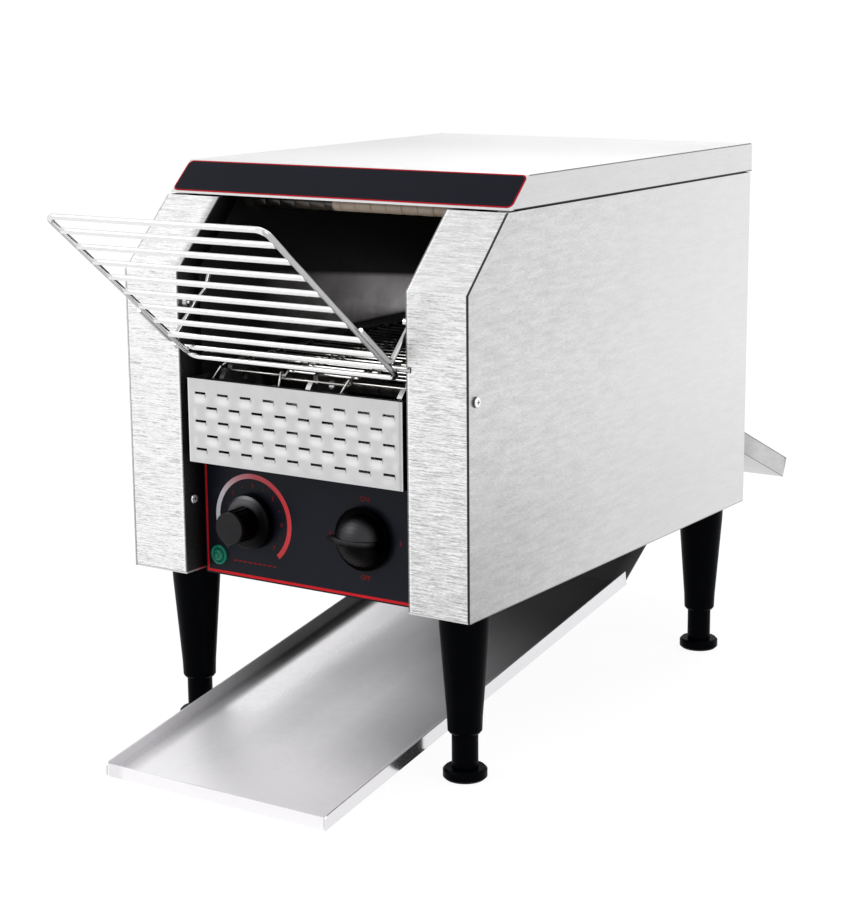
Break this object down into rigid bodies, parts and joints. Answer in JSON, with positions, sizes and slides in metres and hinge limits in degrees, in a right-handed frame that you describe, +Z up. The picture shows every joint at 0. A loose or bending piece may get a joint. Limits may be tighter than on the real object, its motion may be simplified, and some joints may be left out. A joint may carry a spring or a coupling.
{
  "type": "conveyor toaster",
  "caption": "Counter-top conveyor toaster: sheet-metal body on legs with a wire belt between heaters, a tilting infeed rack, a front tray and a rear chute.",
  "frame": {"origin": "middle of the overall bounding box, at the table plane under the feet", "axes": "+Z up, front (controls and infeed rack) towards -Y, rear chute towards +Y, +X to the right as seen from the front"},
  "size_m": [0.2924, 0.7446, 0.41],
  "materials": {
    "satin_steel": "satin stainless steel",
    "brushed_steel": "brushed stainless steel",
    "chamber_steel": "heat-tinted stainless steel",
    "panel_navy": "semi-gloss",
    "knob_black": "semi-gloss",
    "lamp_green": "gloss",
    "leg_black": "satin",
    "rack_wire": "bright plated wire",
    "belt_wire": "bright stainless wire",
    "bright_steel": "bright turned steel",
    "sprocket_steel": "zinc plated",
    "chain_steel": "oiled",
    "bearing_bronze": "satin",
    "motor_grey": "satin",
    "heater_tube": "frosted quartz",
    "ceramic": "matt ceramic",
    "inner_black": "matt"
  },
  "bodies": {
    "housing": {"base_pan": "brushed_steel", "left_side_panel": "satin_steel", "right_side_panel": "satin_steel", "left_front_pillar": "brushed_steel", "right_front_pillar": "brushed_steel", "top_cover": "satin_steel", "rear_panel": "satin_steel", "left_inner_wall": "chamber_steel", "right_inner_wall": "chamber_steel", "upper_reflector": "chamber_steel", "rear_baffle": "chamber_steel", "heat_shield": "chamber_steel", "louvre_panel": "satin_steel", "control_panel": "panel_navy", "speed_control": "inner_black", "rotary_switch": "inner_black", "power_lamp": "lamp_green", "front_left_leg": "leg_black", "front_right_leg": "leg_black", "rear_left_leg": "leg_black", "rear_right_leg": "leg_black", "leg_nuts": "bright_steel", "rack_stop_screws": "bright_steel", "conveyor_belt": "belt_wire", "shaft_bearings": "bearing_bronze", "gear_motor": "motor_grey", "drive_chain": "chain_steel", "upper_heaters": "heater_tube", "lower_heaters": "heater_tube", "heater_end_caps": "ceramic", "fan_frame": "inner_black", "terminal_block": "ceramic", "cable_gland": "inner_black", "body_screws": "bright_steel"},
    "rack": {"infeed_rack": "rack_wire", "rack_cross_wires": "rack_wire", "rack_arms": "rack_wire"},
    "speed_dial": {"speed_knob": "knob_black", "speed_spindle": "bright_steel"},
    "function_dial": {"function_knob": "knob_black", "function_spindle": "bright_steel"},
    "front_left_foot_screw": {"front_left_foot": "leg_black"},
    "front_right_foot_screw": {"front_right_foot": "leg_black"},
    "rear_left_foot_screw": {"rear_left_foot": "leg_black"},
    "rear_right_foot_screw": {"rear_right_foot": "leg_black"},
    "belt_drive": {"drive_shaft": "bright_steel", "drive_sprockets": "sprocket_steel", "shaft_sprocket": "sprocket_steel"},
    "belt_idler": {"idler_shaft": "bright_steel", "idler_sprockets": "sprocket_steel"},
    "motor_output": {"motor_shaft": "bright_steel", "motor_sprocket": "sprocket_steel"},
    "fan": {"fan_rotor": "inner_black"},
    "tray": {"front_tray": "satin_steel"},
    "chute": {"rear_chute": "satin_steel"}
  },
  "joints": [
    {"name": "rack_tilt", "type": "hinge", "parent": "housing", "child": "rack", "pos_m": [0, -0.23423, 0.2874], "axis": [-1, 0, 0], "range_deg": [0, 62]},
    {"name": "speed_turn", "type": "hinge", "parent": "housing", "child": "speed_dial", "pos_m": [-0.0514, -0.21273, 0.1625], "axis": [0, 1, 0], "range_deg": [0, 280]},
    {"name": "function_turn", "type": "hinge", "parent": "housing", "child": "function_dial", "pos_m": [0.0455, -0.21273, 0.1625], "axis": [0, 1, 0], "range_deg": [-90, 180]},
    {"name": "belt_spin", "type": "hinge", "parent": "housing", "child": "belt_drive", "pos_m": [0, 0.06827, 0.248], "axis": [-1, 0, 0], "continuous": true, "deforming": ["conveyor_belt", "drive_chain"]},
    {"name": "idler_spin", "type": "hinge", "parent": "housing", "child": "belt_idler", "pos_m": [0, -0.19353, 0.248], "axis": [-1, 0, 0], "continuous": true},
    {"name": "motor_spin", "type": "hinge", "parent": "housing", "child": "motor_output", "pos_m": [0, -0.02018, 0.181], "axis": [-1, 0, 0], "continuous": true},
    {"name": "fan_spin", "type": "hinge", "parent": "housing", "child": "fan", "pos_m": [0.04, -0.11473, 0.1312], "axis": [0, 0, 1], "continuous": true},
    {"name": "tray_slide", "type": "slide", "parent": "housing", "child": "tray", "axis": [0, -1, 0], "range_m": [0, 0.09]},
    {"name": "chute_slide", "type": "slide", "parent": "housing", "child": "chute", "axis": [0, 0.9153, -0.4027], "range_m": [0, 0.06]},
    {"name": "front_left_foot_travel", "type": "slide", "parent": "housing", "child": "front_left_foot_screw", "axis": [0, 0, 1], "range_m": [0, 0.022]},
    {"name": "front_right_foot_travel", "type": "slide", "parent": "housing", "child": "front_right_foot_screw", "axis": [0, 0, 1], "range_m": [0, 0.022]},
    {"name": "rear_left_foot_travel", "type": "slide", "parent": "housing", "child": "rear_left_foot_screw", "axis": [0, 0, 1], "range_m": [0, 0.022]},
    {"name": "rear_right_foot_travel", "type": "slide", "parent": "housing", "child": "rear_right_foot_screw", "axis": [0, 0, 1], "range_m": [0, 0.022]}
  ],
  "couplings": [
    {"joint": "idler_spin", "follows": "belt_spin", "ratio": 1},
    {"joint": "motor_spin", "follows": "belt_spin", "ratio": 1.5}
  ]
}
